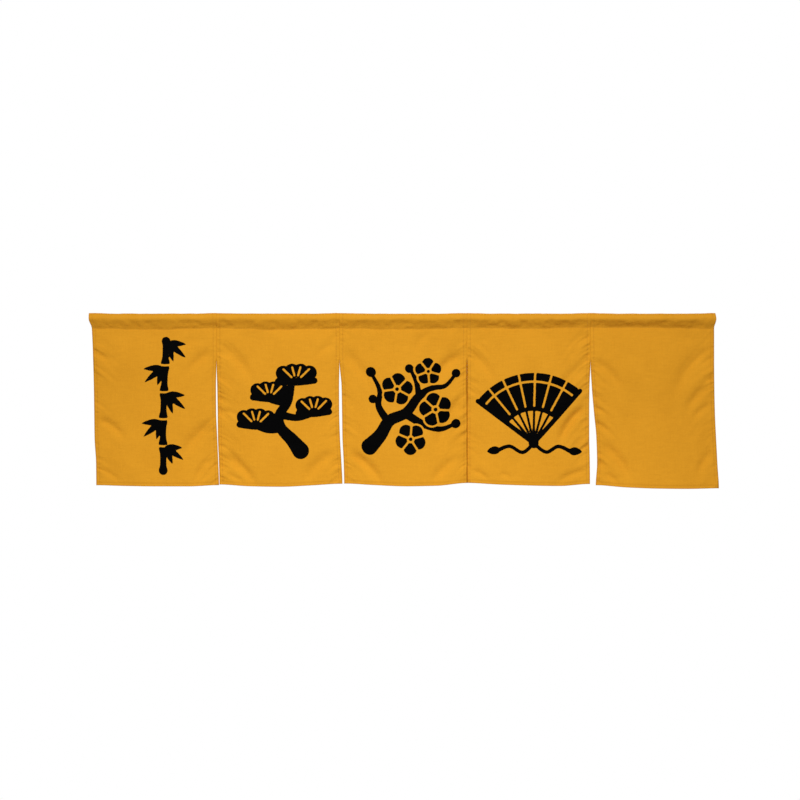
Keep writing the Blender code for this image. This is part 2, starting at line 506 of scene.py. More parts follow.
@dataclass(frozen=True)
class PlumBranch(Motif):
    """A gnarled plum branch with five-petalled blossoms and buds.

    Attributes:
        branches: The branch and its shoots, each as rows of x, y and width.
        blossoms: Rows of x, y, radius and turn in degrees.
        buds: Rows of x, y and size.
    """

    branches: tuple[tuple[tuple[float, float, float], ...], ...] = (
        (
            (-116, -104, 44),
            (-84, -70, 36),
            (-58, -30, 32),
            (-12, -8, 28),
            (22, 34, 24),
            (60, 58, 16),
            (98, 64, 12),
            (124, 92, 9),
        ),
        ((-60, -36, 24), (-88, 8, 18), (-84, 50, 14), (-104, 96, 9)),
        ((-14, -10, 24), (32, -38, 20), (80, -54, 15), (120, -44, 10)),
        ((24, 36, 18), (18, 76, 14), (2, 112, 9)),
    )
    blossoms: tuple[tuple[float, float, float, float], ...] = (
        (-36, 56, 44, 8),
        (70, 0, 46, 30),
        (0, -80, 43, 50),
        (52, 104, 37, 20),
    )
    buds: tuple[tuple[float, float, float], ...] = (
        (-106, 102, 28),
        (-104, 28, 24),
        (126, -42, 26),
        (128, 98, 24),
        (0, 112, 24),
    )

    def blossom(self, x: float, y: float, radius: float, turn: float) -> list[Stroke]:
        """One blossom: round petals on bare cloth, parted by bare lines, with a bare heart and its dot.

        Args:
            x: Its middle across.
            y: Its middle up.
            radius: From its middle to its petals' tips.
            turn: How far it is turned, in degrees.

        Returns:
            Its strokes in order.
        """
        headings = [turn + 72 * k for k in range(5)]
        petals = [out_from(x, y, 0.55 * radius, heading) for heading in headings]
        laid = [dot(*petal, 0.9 * radius + 10, Mark.BARE) for petal in petals]
        laid += [dot(*petal, 0.9 * radius) for petal in petals]
        for heading in headings:
            ends = (out_from(x, y, share * radius, heading + 36) for share in (0.15, 0.9))
            laid.append(straight(*ends, 5.6, Mark.BARE))
        laid.append(dot(x, y, 0.5 * radius, Mark.BARE))
        laid.append(dot(x, y, 0.24 * radius))
        return laid

    def strokes(self) -> list[Stroke]:
        """The branches, then the buds and blossoms over them."""
        laid = [Stroke(rows) for rows in self.branches]
        laid += [dot(*row) for row in self.buds]
        for row in self.blossoms:
            laid += self.blossom(*row)
        return laid


@dataclass(frozen=True)
class FoldingFan(Motif):
    """An open folding fan with a tied cord.

    Attributes:
        pivot_x: The rivet's place across.
        pivot_y: The rivet's place up.
        reach: From the rivet to the paper's outer edge.
        paper: From the rivet to the paper's inner edge.
        folds: How many folds the paper has.
        spread: The opening angle, in degrees.
        tilt: The way the fan's middle points, in degrees from +x.
    """

    pivot_x: float = 12
    pivot_y: float = -92
    reach: float = 190
    paper: float = 90
    folds: int = 7
    spread: float = 96
    tilt: float = 96

    def at(self, radius: float, share: float) -> Place:
        """A place on the fan.

        Args:
            radius: How far it is from the rivet.
            share: 0 at the right guard and 1 at the left one.

        Returns:
            Its x and y.
        """
        heading = self.tilt + self.spread * (share - 0.5)
        return out_from(self.pivot_x, self.pivot_y, radius, heading)

    def ray(self, low: float, high: float, share: float, width: float, mark: Mark) -> Stroke:
        """A straight stroke along the fan's ribs.

        Args:
            low: Where it starts, from the rivet.
            high: Where it ends, from the rivet.
            share: Which way, as in at().
            width: The brush's width.
            mark: Ink or bare.

        Returns:
            One stroke.
        """
        return straight(self.at(low, share), self.at(high, share), width, mark)

    def arc(self, radius: float, low: float, high: float, width: float, mark: Mark) -> Stroke:
        """A stroke round the rivet.

        Args:
            radius: How far it is from the rivet.
            low: The share at which it starts.
            high: The share at which it ends.
            width: The brush's width.
            mark: Ink or bare.

        Returns:
            One stroke.
        """
        shares = [mix(low, high, k / 8) for k in range(9)]
        return Stroke(tuple((*self.at(radius, share), width) for share in shares), mark)

    def strokes(self) -> list[Stroke]:
        """The ribs and the paper with its folds and band, then the cord."""
        laid = [
            self.ray(0, self.paper + 6, k / self.folds, 6.5, Mark.INK)
            for k in range(1, self.folds)
        ]
        bands = 4
        depth = (self.reach - self.paper) / bands
        for k in range(bands):
            radius = self.paper + depth * (k + 0.5)
            inset = depth / 2 / radius / math.radians(self.spread)
            laid.append(self.arc(radius, inset, 1 - inset, depth + 4, Mark.INK))
        laid += [
            self.ray(self.paper + 12, self.reach + 6, k / self.folds, 5.6, Mark.BARE)
            for k in range(1, self.folds)
        ]
        laid.append(self.arc(self.reach - 22, 0.0, 1.0, 6, Mark.BARE))
        laid += [self.ray(0, self.reach, share, 13, Mark.INK) for share in (0.0, 1.0)]
        laid.append(dot(self.pivot_x, self.pivot_y, 28))
        x, y = self.pivot_x, self.pivot_y
        for cord in (
            ((34, -24, 10), (68, -8, 10), (102, -24, 11)),
            ((-30, -26, 10), (-66, -10, 10), (-98, -22, 11)),
        ):
            laid.append(Stroke(((x, y, 10), *((x + dx, y + dy, width) for dx, dy, width in cord))))
        laid += [leaf(x + 98, y - 22, -8, 34, 22), leaf(x - 94, y - 20, 192, 34, 22)]
        return laid


class NodeBench:
    """A material's nodes, with short calls to add one and join it."""

    def __init__(self, name: str) -> None:
        """Starts a material.

        Args:
            name: The material's name.
        """
        self.material = bpy.data.materials.new(name)
        self.material.use_nodes = True
        self.tree = self.material.node_tree
        self.shader = self.tree.nodes["Principled BSDF"]

    def feed(self, socket: Socket, value: object) -> None:
        """Joins a socket to another node's output, or sets its value.

        Args:
            socket: An input.
            value: An output to join, or a plain value.
        """
        if isinstance(value, Socket):
            self.tree.links.new(value, socket)
        else:
            socket.default_value = value

    def add(self, kind: str, inputs: dict, **settings: object) -> bpy.types.Node:
        """Adds a node.

        Args:
            kind: Its type, without the word Shader in front.
            inputs: Values or outputs for its inputs, by name or number.
            **settings: Its own properties.

        Returns:
            The node.
        """
        node = self.tree.nodes.new("Shader" + kind)
        for name, value in settings.items():
            setattr(node, name, value)
        for socket, value in inputs.items():
            self.feed(node.inputs[socket], value)
        return node

    def plus(self, first: object, second: object) -> Socket:
        """The sum of two values or outputs."""
        return self.add("NodeMath", {0: first, 1: second}, operation="ADD").outputs[0]

    def times(self, first: object, second: object) -> Socket:
        """The product of two values or outputs."""
        return self.add("NodeMath", {0: first, 1: second}, operation="MULTIPLY").outputs[0]

    def remap(self, value: Socket, low: float, high: float, start: float, end: float) -> Socket:
        """A value moved from low..high to start..end, and held there."""
        inputs = {"Value": value, "From Min": low, "From Max": high, "To Min": start, "To Max": end}
        return self.add("NodeMapRange", inputs).outputs[0]

    def stretch(self, places: Socket, along: float, down: float) -> Socket:
        """Places on the cloth in bumps instead of metres.

        Args:
            places: The cloth's own coordinates.
            along: One bump's length across the cloth, in metres.
            down: One bump's length down the cloth, in metres.

        Returns:
            The new coordinates.
        """
        inputs = {0: places, 1: (1 / along, 1 / down, 1.0)}
        return self.add("NodeVectorMath", inputs, operation="MULTIPLY").outputs[0]

    def cloud(self, places: Socket, along: float, down: float, detail: float = 1.0) -> Socket:
        """Noise of a size given across and down the cloth, from 0 to 1."""
        inputs = {"Vector": self.stretch(places, along, down), "Scale": 1.0, "Detail": detail}
        return self.add("NodeTexNoise", inputs, noise_dimensions="2D").outputs["Fac"]

    def threads(self, places: Socket, direction: str, pitch: float) -> Socket:
        """One set of parallel threads as a soft wave from -1 to 1.

        Args:
            places: The cloth's own coordinates.
            direction: X for threads that run down, Y for threads that run across.
            pitch: From thread to thread, in metres.

        Returns:
            The wave.
        """
        inputs = {"Vector": places, "Scale": math.tau / 20 / pitch, "Distortion": 0.5}
        inputs |= {"Detail": 1.0, "Detail Scale": 0.6}
        node = self.add("NodeTexWave", inputs, bands_direction=direction)
        return self.remap(node.outputs["Fac"], 0, 1, -1, 1)

    def blend(self, share: object, first: object, second: object) -> Socket:
        """A colour between two others.

        Args:
            share: 0 for the first and 1 for the second.
            first: A colour or an output.
            second: A colour or an output.

        Returns:
            The mixed colour.
        """
        node = self.add("NodeMix", {0: share, 6: first, 7: second}, data_type="RGBA")
        return node.outputs[2]


@dataclass(frozen=True)
class DyedCloth:
    """Fine plain-weave cloth with a soft sheen, and ink on it where the piece's print says.

    Attributes:
        name: The material's name.
        tone: The cloth's colour.
        ink: The print's colour.
        cover: How fully the ink covers, from 0 to 1.
        pitch: From thread to thread, in metres.
        shade: How much thread, slub and dye vary the colour.
    """

    name: str
    tone: Colour
    ink: Colour
    cover: float
    pitch: float = 0.8 * MM
    shade: float = 0.16

    def build(self) -> bpy.types.Material:
        """Makes the material."""
        bench = NodeBench(self.name)
        places = bench.add("NodeUVMap", {}, uv_map="cloth").outputs[0]
        warp = bench.threads(places, "X", self.pitch)
        weft = bench.threads(places, "Y", self.pitch)
        weave = bench.times(warp, weft)
        slub, slub_run = 1.3 * MM, 46 * MM
        slubs = bench.plus(
            bench.cloud(places, slub, slub_run, 2),
            bench.cloud(places, slub_run, slub, 2),
        )
        dye = bench.cloud(places, 70 * MM, 90 * MM, 3)
        crumple = bench.cloud(places, 26 * MM, 15 * MM, 3)

        uneven = bench.times(bench.plus(slubs, -1.0), 0.9)
        uneven = bench.plus(uneven, bench.times(bench.plus(dye, -0.5), 0.7))
        uneven = bench.plus(uneven, bench.times(weave, 0.25))
        share = bench.remap(uneven, -1, 1, 0, 1)
        dark, pale = (
            tuple(c * (1 + way * self.shade * k) for c, k in zip(self.tone, (0.8, 1.0, 1.5)))
            for way in (-1, 1)
        )
        cloth = bench.blend(share, (*dark, 1), (*pale, 1))
        # Painted shade: along folded edges, seams and stitch lines the colour is mixed towards a dark
        # brown, for the shade in their grooves.
        painted_seam_shade = bench.add("NodeAttribute", {}, attribute_name="painted_seam_shade").outputs["Fac"]
        painted_shade_tone = tuple(c * k for c, k in zip(self.tone, (0.5, 0.42, 0.3)))
        cloth = bench.blend(bench.times(painted_seam_shade, 0.45), cloth, (*painted_shade_tone, 1))

        edge = bench.add("NodeAttribute", {}, attribute_name="print_edge").outputs["Fac"]
        rough = bench.plus(bench.cloud(places, 5 * MM, 5 * MM, 4), -0.5)
        fuzz = bench.times(weave, 0.12)
        edge = bench.plus(edge, bench.plus(bench.times(rough, 1.5), fuzz))
        inked = bench.remap(edge, -0.25, 0.25, self.cover, 0)
        bench.feed(bench.shader.inputs["Base Color"], bench.blend(inked, cloth, (*self.ink, 1)))
        bench.feed(bench.shader.inputs["Roughness"], bench.remap(inked, 0, 1, 0.78, 0.62))

        height = bench.plus(bench.times(weave, 0.05), bench.times(slubs, 0.03))
        fine = bench.add("NodeBump", {"Strength": 1.0, "Distance": MM, "Height": height})
        inputs = {"Strength": 1.0, "Distance": 0.9 * MM, "Height": crumple, "Normal": fine.outputs[0]}
        soft = bench.add("NodeBump", inputs)
        bench.feed(bench.shader.inputs["Normal"], soft.outputs[0])
        bench.shader.inputs["Specular IOR Level"].default_value = 0.025
        bench.shader.inputs["Sheen Weight"].default_value = 0.02
        bench.shader.inputs["Sheen Roughness"].default_value = 0.4
        bench.shader.inputs["Sheen Tint"].default_value = (1.0, 0.82, 0.5, 1)
        return bench.material


@dataclass(frozen=True)
class SewingThread:
    """Twisted thread that matches the cloth.

    Attributes:
        name: The material's name.
        tone: Its colour.
    """

    name: str
    tone: Colour

    def build(self) -> bpy.types.Material:
        """Makes the material."""
        bench = NodeBench(self.name)
        places = bench.add("NodeTexCoord", {}).outputs["Object"]
        ply = bench.add("NodeTexNoise", {"Vector": places, "Scale": 2600.0, "Detail": 1.0}).outputs["Fac"]
        dark = tuple(c * 0.72 for c in self.tone)
        bench.feed(bench.shader.inputs["Base Color"], bench.blend(ply, (*dark, 1), (*self.tone, 1)))
        bump = bench.add("NodeBump", {"Strength": 0.6, "Distance": 0.1 * MM, "Height": ply})
        bench.feed(bench.shader.inputs["Normal"], bump.outputs[0])
        bench.shader.inputs["Roughness"].default_value = 0.55
        bench.shader.inputs["Sheen Weight"].default_value = 0.2
        return bench.material


@dataclass(frozen=True)
class PaleFloor:
    """A pale studio floor that thins out into the white round it.

    Attributes:
        name: The material's name.
        tone: Its colour under the object.
        fade_start: Where it begins to fade, from its middle.
        fade_end: Where nothing of it shows any more.
    """

    name: str
    tone: Colour
    fade_start: float
    fade_end: float

    def build(self) -> bpy.types.Material:
        """Makes the material."""
        bench = NodeBench(self.name)
        places = bench.add("NodeTexCoord", {}).outputs["Object"]
        away = bench.add("NodeVectorMath", {0: places}, operation="LENGTH").outputs["Value"]
        share = bench.remap(away, self.fade_start, self.fade_end, 0, 1)
        grain = bench.add("NodeTexNoise", {"Vector": places, "Scale": 6.0, "Detail": 3.0}).outputs["Fac"]
        worn = tuple(c * 0.96 for c in self.tone)
        bench.feed(bench.shader.inputs["Base Color"], bench.blend(grain, (*worn, 1), (*self.tone, 1)))
        bench.shader.inputs["Roughness"].default_value = 0.9
        clear = bench.add("NodeBsdfTransparent", {})
        both = bench.add("NodeMixShader", {0: share, 1: bench.shader.outputs[0], 2: clear.outputs[0]})
        bench.feed(bench.tree.nodes["Material Output"].inputs["Surface"], both.outputs[0])
        return bench.material


class FoldedPath:
    """A cloth's section as runs and turns, from one cut edge to the other.

    Each point is (along, back): its place across or down the panel, and how far it lies behind the
    panel's front layer.
    """

    def __init__(self, along: float, back: float) -> None:
        """Starts at a cut edge.

        Args:
            along: Its place across or down.
            back: How far behind the front layer it lies.
        """
        self.points = [(along, back)]

    def run(self, along: float, back: float, steps: int) -> None:
        """Goes straight to a point, in a number of steps."""
        start = self.points[-1]
        for k in range(1, steps + 1):
            self.points.append((mix(start[0], along, k / steps), mix(start[1], back, k / steps)))

    def turn(self, along: float, back: float, sweep: float, steps: int) -> None:
        """Goes round a centre.

        Args:
            along: The centre's place across or down.
            back: How far behind the front layer the centre lies.
            sweep: The angle, positive from +along to +back, in radians.
            steps: How many steps it takes.
        """
        from_along, from_back = self.points[-1][0] - along, self.points[-1][1] - back
        radius, start = math.hypot(from_along, from_back), math.atan2(from_back, from_along)
        for k in range(1, steps + 1):
            angle = start + sweep * k / steps
            self.points.append((along + radius * math.cos(angle), back + radius * math.sin(angle)))

    def lengths(self) -> np.ndarray:
        """How far each point is from the first, along the cloth."""
        rows = np.array(self.points)
        steps = np.hypot(*np.diff(rows, axis=0).T)
        return np.concatenate([[0], np.cumsum(steps)])

    def inward(self) -> np.ndarray:
        """Each point's direction towards the cloth's wrong side, as rows of (along, back)."""
        ways = np.gradient(np.array(self.points), self.lengths(), axis=0)
        ways /= np.hypot(*ways.T)[:, None]
        return np.column_stack([-ways[:, 1], ways[:, 0]])


@dataclass(frozen=True)
class Edge:
    """A panel's side edge.

    Attributes:
        sway_mm: How far right of its seam it stands at each level.
        swing_mm: How far back its foot hangs.
        sewn_to_next: Whether a seam joins it to the next panel above the slit.
        curl_mm: How far its last few millimetres turn back along the slit.
    """

    sway_mm: Table
    swing_mm: float
    sewn_to_next: bool = True
    curl_mm: float = 0.0

    def sway(self, depth: np.ndarray) -> np.ndarray:
        """How far right of its seam it stands at depths below the top edge, in metres."""
        return curve(SWAY_LEVELS_MM, self.sway_mm, depth / MM) * MM

    def turned_back(self, side: np.ndarray, depth: np.ndarray) -> np.ndarray:
        """How far back the edge curls below the slit's top.

        Args:
            side: Distances from this edge, in metres.
            depth: Depths below the top edge, in metres.

        Returns:
            Metres to the back.
        """
        near = np.clip(1 - side / CURL_REACH, 0, 1) ** 2
        return self.curl_mm * MM * near * smooth(depth, SLIT_DROP - 16 * MM, SLIT_DROP + 20 * MM)


@dataclass(frozen=True)
class Crease:
    """A soft trough, between two points given as (across the panel, below the top)."""

    start_mm: tuple[float, float]
    end_mm: tuple[float, float]
    width_mm: float
    depth_mm: float

    def depth_at(self, across: np.ndarray, depth: np.ndarray) -> np.ndarray:
        """How far back it sets the cloth.

        Args:
            across: Places across the panel, in metres.
            depth: Depths below the top edge, in metres.

        Returns:
            Metres to the back.
        """
        start, end = np.array(self.start_mm) * MM, np.array(self.end_mm) * MM
        run = end - start
        length = math.hypot(*run)
        along = ((across - start[0]) * run[0] + (depth - start[1]) * run[1]) / length**2
        off = ((across - start[0]) * run[1] - (depth - start[1]) * run[0]) / length
        off = off - math.copysign(CREASE_BOW * 4 * length, run[0]) * along * (1 - along)
        ends = smooth(along, -0.25, 0.25) * (1 - smooth(along, 0.55, 1.35))
        return self.depth_mm * MM * ends * bell(off, self.width_mm * MM)


@dataclass(frozen=True)
class Panel:
    """One cloth panel as a thin hemmed sheet.

    Attributes:
        name: The node that it stands for.
        left_seam: Place of its left edge along the pocket's foot.
        right_seam: Place of its right edge there.
        left: The left edge's sway and swing.
        right: The right edge's.
        foot_mm: Its foot's depth at the foot's shares.
        belly_mm: How far its middle hangs back at half height.
        foot_curl_mm: How far its foot's middle curls back.
        creases: Its long soft troughs.
        seed: Which pattern its fine unevenness has.
        motif: Its print, if it has one.
        motif_place_mm: The print's middle, across the panel and below the top.
        pocket_sag: How much further out than the others its pocket stands, as a share.
        pitch: The sheet's mesh size.
    """

    name: str
    left_seam: float
    right_seam: float
    left: Edge
    right: Edge
    foot_mm: Table
    belly_mm: float
    foot_curl_mm: float
    creases: tuple[Crease, ...]
    seed: int
    motif: Motif | None = None
    motif_place_mm: tuple[float, float] = (170, 262)
    pocket_sag: float = 0.0
    pitch: float = 2.6 * MM

    @property
    def width(self) -> float:
        """Its width between its two folded edges."""
        return self.right_seam - self.left_seam - CLOTH

    def across_path(self) -> FoldedPath:
        """Its section from side to side: a hem, the plain width and the other hem."""
        path = FoldedPath(CUT_EDGE_INSET, LAYER)
        path.run(SIDE_HEM - LAYER / 2, LAYER, 3)
        path.turn(SIDE_HEM - LAYER / 2, 1.5 * LAYER, math.pi, 3)
        path.run(LAYER, 2 * LAYER, 4)
        path.turn(LAYER, LAYER, math.pi, 5)
        path.run(CURL_REACH * 0.6, 0, 2)
        path.run(SIDE_HEM - STITCH_INSET, 0, 3)
        path.run(SIDE_HEM + STITCH_INSET, 0, 2)
        half = self.width / 2
        path.run(half, 0, round((half - SIDE_HEM) / self.pitch))
        mirrored = [(self.width - along, back) for along, back in reversed(path.points[:-1])]
        path.points += mirrored
        return path

    def down_path(self) -> FoldedPath:
        """Its section from the pocket's flap, up and over the rod's place, and down to the foot's hem."""
        flap = POCKET_DROP + POCKET_FLAP - LAYER / 2
        path = FoldedPath(POCKET_DROP + 0.5 * MM, LAYER)
        path.run(flap, LAYER, 2)
        path.turn(flap, 1.5 * LAYER, math.pi, 3)
        path.run(POCKET_DROP, 2 * LAYER, 2)
        axis, radius = (POCKET_RADIUS, -FRONT_Y), POCKET_RADIUS - CLOTH / 2
        touches = []
        for back, side in ((2 * LAYER, 1), (0.0, -1)):
            down, behind = POCKET_DROP - axis[0], back - axis[1]
            opening = math.acos(radius / math.hypot(down, behind))
            touches.append(math.atan2(behind, down) + side * opening)
        start, end = touches
        steps = round(26 * MM / self.pitch)
        path.run(axis[0] + radius * math.cos(start), axis[1] + radius * math.sin(start), steps)
        path.turn(*axis, end + math.tau - start, round(56 * MM / self.pitch))
        path.run(POCKET_DROP, 0, steps)
        path.run(POCKET_DROP + 2.4 * MM, 0, 2)
        hem = FOOT_DROP - FOOT_HEM
        path.run(hem, 0, round((hem - POCKET_DROP) / self.pitch))
        path.run(FOOT_DROP - LAYER, 0, 4)
        path.turn(FOOT_DROP - LAYER, LAYER, math.pi, 5)
        path.run(hem + LAYER / 2, 2 * LAYER, 4)
        path.turn(hem + LAYER / 2, 1.5 * LAYER, math.pi, 3)
        path.run(FOOT_DROP - CUT_EDGE_INSET, LAYER, 3)
        return path

    def fold(self, across: np.ndarray, depth: np.ndarray) -> np.ndarray:
        """How far back of the rod's plane the drop hangs: its swing, belly, creases and soft waves.

        Args:
            across: Places across the panel.
            depth: Depths below the top edge.

        Returns:
            Metres to the back.
        """
        share = across / self.width
        arch = 4 * share * (1 - share)
        below = np.clip((depth - POCKET_DROP) / (FOOT_DROP - POCKET_DROP), 0, 1)
        swing = mix(self.left.swing_mm, self.right.swing_mm, share)
        swing = swing * smooth(depth, SLIT_DROP, FULL_SWING_DROP)
        belly = arch * (self.belly_mm * np.sin(math.pi * below) + self.foot_curl_mm * below**4)
        inset = smooth(np.minimum(across, self.width - across), 0, FOLD_INSET)
        troughs = sum(crease.depth_at(across, depth) for crease in self.creases)
        waves = sum(size.at(across, depth, self.seed) for size in (BROAD_WAVES, SMALL_WAVES))
        loose = smooth(depth, POCKET_DROP, POCKET_DROP + FOLD_START)
        return (swing + belly) * MM + (troughs + waves) * inset * loose

    def relief(self, across: np.ndarray, depth: np.ndarray) -> np.ndarray:
        """How far back the sewing draws the cloth: stitched grooves, puffed hems and puckers.

        Args:
            across: Places across the panel.
            depth: Depths below the top edge.

        Returns:
            Metres to the back.
        """
        side = np.minimum(across, self.width - across)
        foot, head = FOOT_DROP - depth, depth - POCKET_DROP
        hem_line, foot_line = SIDE_HEM - STITCH_INSET, FOOT_HEM - STITCH_INSET
        grooves = bell(side - hem_line, 1.5 * MM) + bell(foot - foot_line, 1.5 * MM)
        grooves = 0.3 * MM * (grooves + bell(head - 1.5 * MM, 1.6 * MM))
        puff = 0.22 * MM * (bell(side - hem_line / 2, 3 * MM) + bell(foot - foot_line / 2, 3 * MM))
        skip = RIGHT_HALF_SKIP * (across > self.width / 2)
        lean = depth - side * (0.4 + side / (150 * MM)) + WANDER.at(depth, side, self.seed, skip)
        pulls = PULLS.at(lean, side, self.seed, skip) * bell(side - hem_line, 22 * MM)
        pulls = pulls + DRAGS.at(lean, side, self.seed, skip) * bell(side - hem_line, 42 * MM)
        spots = STRONG_SPOTS.at(depth, side, self.seed, skip)
        pulls = pulls * (0.2 + 1.15 * smooth(spots, -0.35 * MM, 0.6 * MM))
        pulls = pulls * smooth(side, 0.5 * MM, 5 * MM)
        pulls = pulls * mix(0.4, 1, smooth(depth, POCKET_DROP, SLIT_DROP - 20 * MM))
        ticks = HEM_TICKS.at(depth, side, self.seed, skip)
        ticks = ticks * bell(side - 7 * MM, 6 * MM) * smooth(side, 0.5 * MM, 3 * MM)
        ends = FOOT_PULLS.at(across, foot, self.seed) * bell(foot - foot_line, 10 * MM)
        ends = ends + HEAD_PULLS.at(across, head, self.seed) * bell(np.maximum(head, 0), 16 * MM)
        curl = self.left.turned_back(across, depth)
        curl = curl + self.right.turned_back(self.width - across, depth)
        return grooves - puff + curl + pulls + ticks + ends

    def hang(self, across: np.ndarray, depth: np.ndarray, back: np.ndarray) -> np.ndarray:
        """Where places on the sheet hang.

        Args:
            across: Places across the panel.
            depth: Depths below the top edge.
            back: How far behind the front layer they lie.

        Returns:
            Their coordinates, with x, y and z along the last axis.
        """
        share = across / self.width
        pressed = SEAM_PRESS * (1 - smooth(depth, SLIT_DROP - 8 * MM, SLIT_DROP))
        x = mix(
            self.left_seam + CLOTH / 2 - pressed + self.left.sway(depth),
            self.right_seam - CLOTH / 2 + pressed + self.right.sway(depth),
            share,
        )
        sides = bell(across, SEAM_RISE_REACH) + bell(self.width - across, SEAM_RISE_REACH)
        rise = SEAM_RISE * sides * (1 - smooth(depth, 0, SEAM_RISE_DEPTH))
        foot = curve(FOOT_SHARES, self.foot_mm, share) * MM
        line = curve(LINE_X_MM, LINE_RISE_MM, x / MM) * MM
        line = line + LINE_WAVER.at(across, np.zeros(across.shape), self.seed)
        rise = rise + line * bell(depth - POCKET_DROP, 16 * MM)
        z = TOP_Z - depth + rise - smooth(depth, POCKET_DROP, FOOT_DROP) * (foot - FOOT_DROP)
        wave = np.sin(math.tau * x / SLACK_PITCH) * np.cos(x / SLACK_PITCH)
        inner = smooth(np.minimum(across, self.width - across), 0, SAG_REACH)
        slack = POCKET_SLACK * wave + self.pocket_sag * inner
        slack = slack * (1 - smooth(depth, POCKET_DROP - 8 * MM, POCKET_DROP))
        drop = smooth(depth, POCKET_DROP - 4 * MM, POCKET_DROP)
        y = (FRONT_Y + back) * (1 + slack) + self.fold(across, depth) + self.relief(across, depth) * drop
        return np.stack([x, y, z], axis=-1)

    def surface(
        self, across: np.ndarray, raised: np.ndarray, section: np.ndarray, inward: np.ndarray
    ) -> np.ndarray:
        """Where places hang that are given by the panel's two sections.

        Args:
            across: Places across the panel.
            raised: How far each lies to the cloth's wrong side.
            section: The places down the panel, as (depth, back) along the last axis.
            inward: The wrong side's direction there, likewise.

        Returns:
            Their coordinates, with x, y and z along the last axis.
        """
        depth, back = section[..., 0], section[..., 1]
        tight = np.minimum(across, self.width - across)
        stack = 2 * LAYER * (1 - smooth(tight, SIDE_HEM, SIDE_HEM + 6 * MM))
        layers = np.clip(back / LAYER, 0, 2)
        spread = layers * (layers + 1) / 2 * smooth(depth, POCKET_RADIUS + 6 * MM, POCKET_DROP)
        walls = mix(0.3, 1, smooth(depth, 5 * MM, 20 * MM))
        walls = walls * (1 - smooth(depth, POCKET_DROP - 9 * MM, POCKET_DROP))
        skip = BACK_WALL_SKIP * (back > POCKET_RADIUS / 2)
        sizes = CRUMPLES, SMALL_CRUMPLES
        raised = raised + walls * sum(size.at(across, depth, self.seed, skip) for size in sizes)
        return self.hang(
            across,
            depth + raised * inward[..., 0],
            back + stack * spread + raised * inward[..., 1],
        )

    def print_edge(self, across: np.ndarray, section: np.ndarray) -> np.ndarray:
        """How far outside the print's ink places lie, in millimetres.

        Args:
            across: Places across the panel.
            section: The places down the panel, as (depth, back) along the last axis.

        Returns:
            The distance, negative in the ink, and large wherever the sheet is turned over.
        """
        if self.motif is None:
            return np.full(across.shape, FAR_MM)
        x = across / MM - self.motif_place_mm[0]
        y = self.motif_place_mm[1] - section[..., 0] / MM
        edge = np.clip(self.motif.edge(x, y), -FAR_MM, FAR_MM)
        front = (np.abs(section[..., 1]) < LAYER / 2) & (section[..., 0] > POCKET_DROP)
        return np.where(front, edge, FAR_MM)

    def painted_seam_shade(self, across: np.ndarray, depth: np.ndarray) -> np.ndarray:
        """How much painted shade darkens the cloth along its folded edges, seams and stitch lines, where
        shade falls in their grooves.

        Args:
            across: Places across the panel.
            depth: Depths below the top edge.

        Returns:
            0 on open cloth, up to 1.
        """
        side = np.minimum(across, self.width - across)
        foot = FOOT_DROP - depth
        joined = np.where(across < self.width / 2, self.left.sewn_to_next, self.right.sewn_to_next)
        held = joined * (1 - smooth(depth, SLIT_DROP - 6 * MM, SLIT_DROP))
        plain = mix(0.5, 1, smooth(depth, POCKET_DROP - 4 * MM, POCKET_DROP))
        # Painted shade lines: folded edges and seams (fainter and narrower where two panels are joined
        # above the slit, and fainter up in the pocket), the foot's edge, and the stitch lines of the side
        # hems, the foot hem and the pocket's foot.
        lines = (
            mix(1, 0.3, held) * plain * bell(side, mix(2.8, 1.3, held) * MM),
            0.8 * bell(foot, 1.3 * MM),
            0.5 * plain * bell(side - SIDE_HEM + STITCH_INSET, 1.2 * MM),
            0.8 * bell(foot - FOOT_HEM + STITCH_INSET, 1.3 * MM),
            0.6 * bell(depth - POCKET_DROP - 1 * MM, 1.4 * MM),
        )
        return np.maximum.reduce(lines)

    def build(self, good_side: bpy.types.Material, wrong_side: bpy.types.Material) -> bpy.types.Object:
        """Makes the sheet.

        Args:
            good_side: The cloth's finish on its good side.
            wrong_side: Its finish on the other.

        Returns:
            The piece.
        """
        side, down = self.across_path(), self.down_path()
        columns, rows = len(side.points) - 1, len(down.points) - 1
        bm = bmesh.new()
        bmesh.ops.create_grid(bm, x_segments=columns, y_segments=rows, size=0.5)
        mesh = bpy.data.meshes.new(self.name + "_cloth")
        bm.to_mesh(mesh)
        bm.free()
        flat = read_array(mesh.vertices, "co", 3)
        column = np.rint((flat[:, 0] + 0.5) * columns).astype(int)
        row = np.rint((0.5 - flat[:, 1]) * rows).astype(int)
        points, section, inward = np.array(side.points), np.array(down.points), down.inward()
        across, raised = points[column, 0], points[column, 1]
        places = self.surface(across, raised, section[row], inward[row])
        mesh.vertices.foreach_set("co", places.ravel())
        edges = np.where(raised < LAYER / 2, self.print_edge(across, section[row]), FAR_MM)
        # Painted shade along folded edges, seams and stitch lines, kept per vertex for the cloth's
        # materials.
        painted_seam_shade = self.painted_seam_shade(across, section[row, 0])
        mesh.attributes.new("print_edge", "FLOAT", "POINT").data.foreach_set("value", edges)
        mesh.attributes.new("painted_seam_shade", "FLOAT", "POINT").data.foreach_set("value", painted_seam_shade)
        cut = np.column_stack([side.lengths()[column] + self.seed * 0.37, down.lengths()[row]])
        corners = read_array(mesh.loops, "vertex_index", 1).astype(int).ravel()
        mesh.uv_layers.new(name="cloth").data.foreach_set("uv", cut[corners].ravel())
        mesh.shade_smooth()
        mesh.materials.append(good_side)
        mesh.materials.append(wrong_side)
        piece = put_in_scene(self.name + "_cloth", mesh)
        wall = piece.modifiers.new("thickness", "SOLIDIFY")
        wall.thickness = CLOTH
        wall.offset = 0.0
        wall.material_offset = 1
        wall.material_offset_rim = 0
        return piece


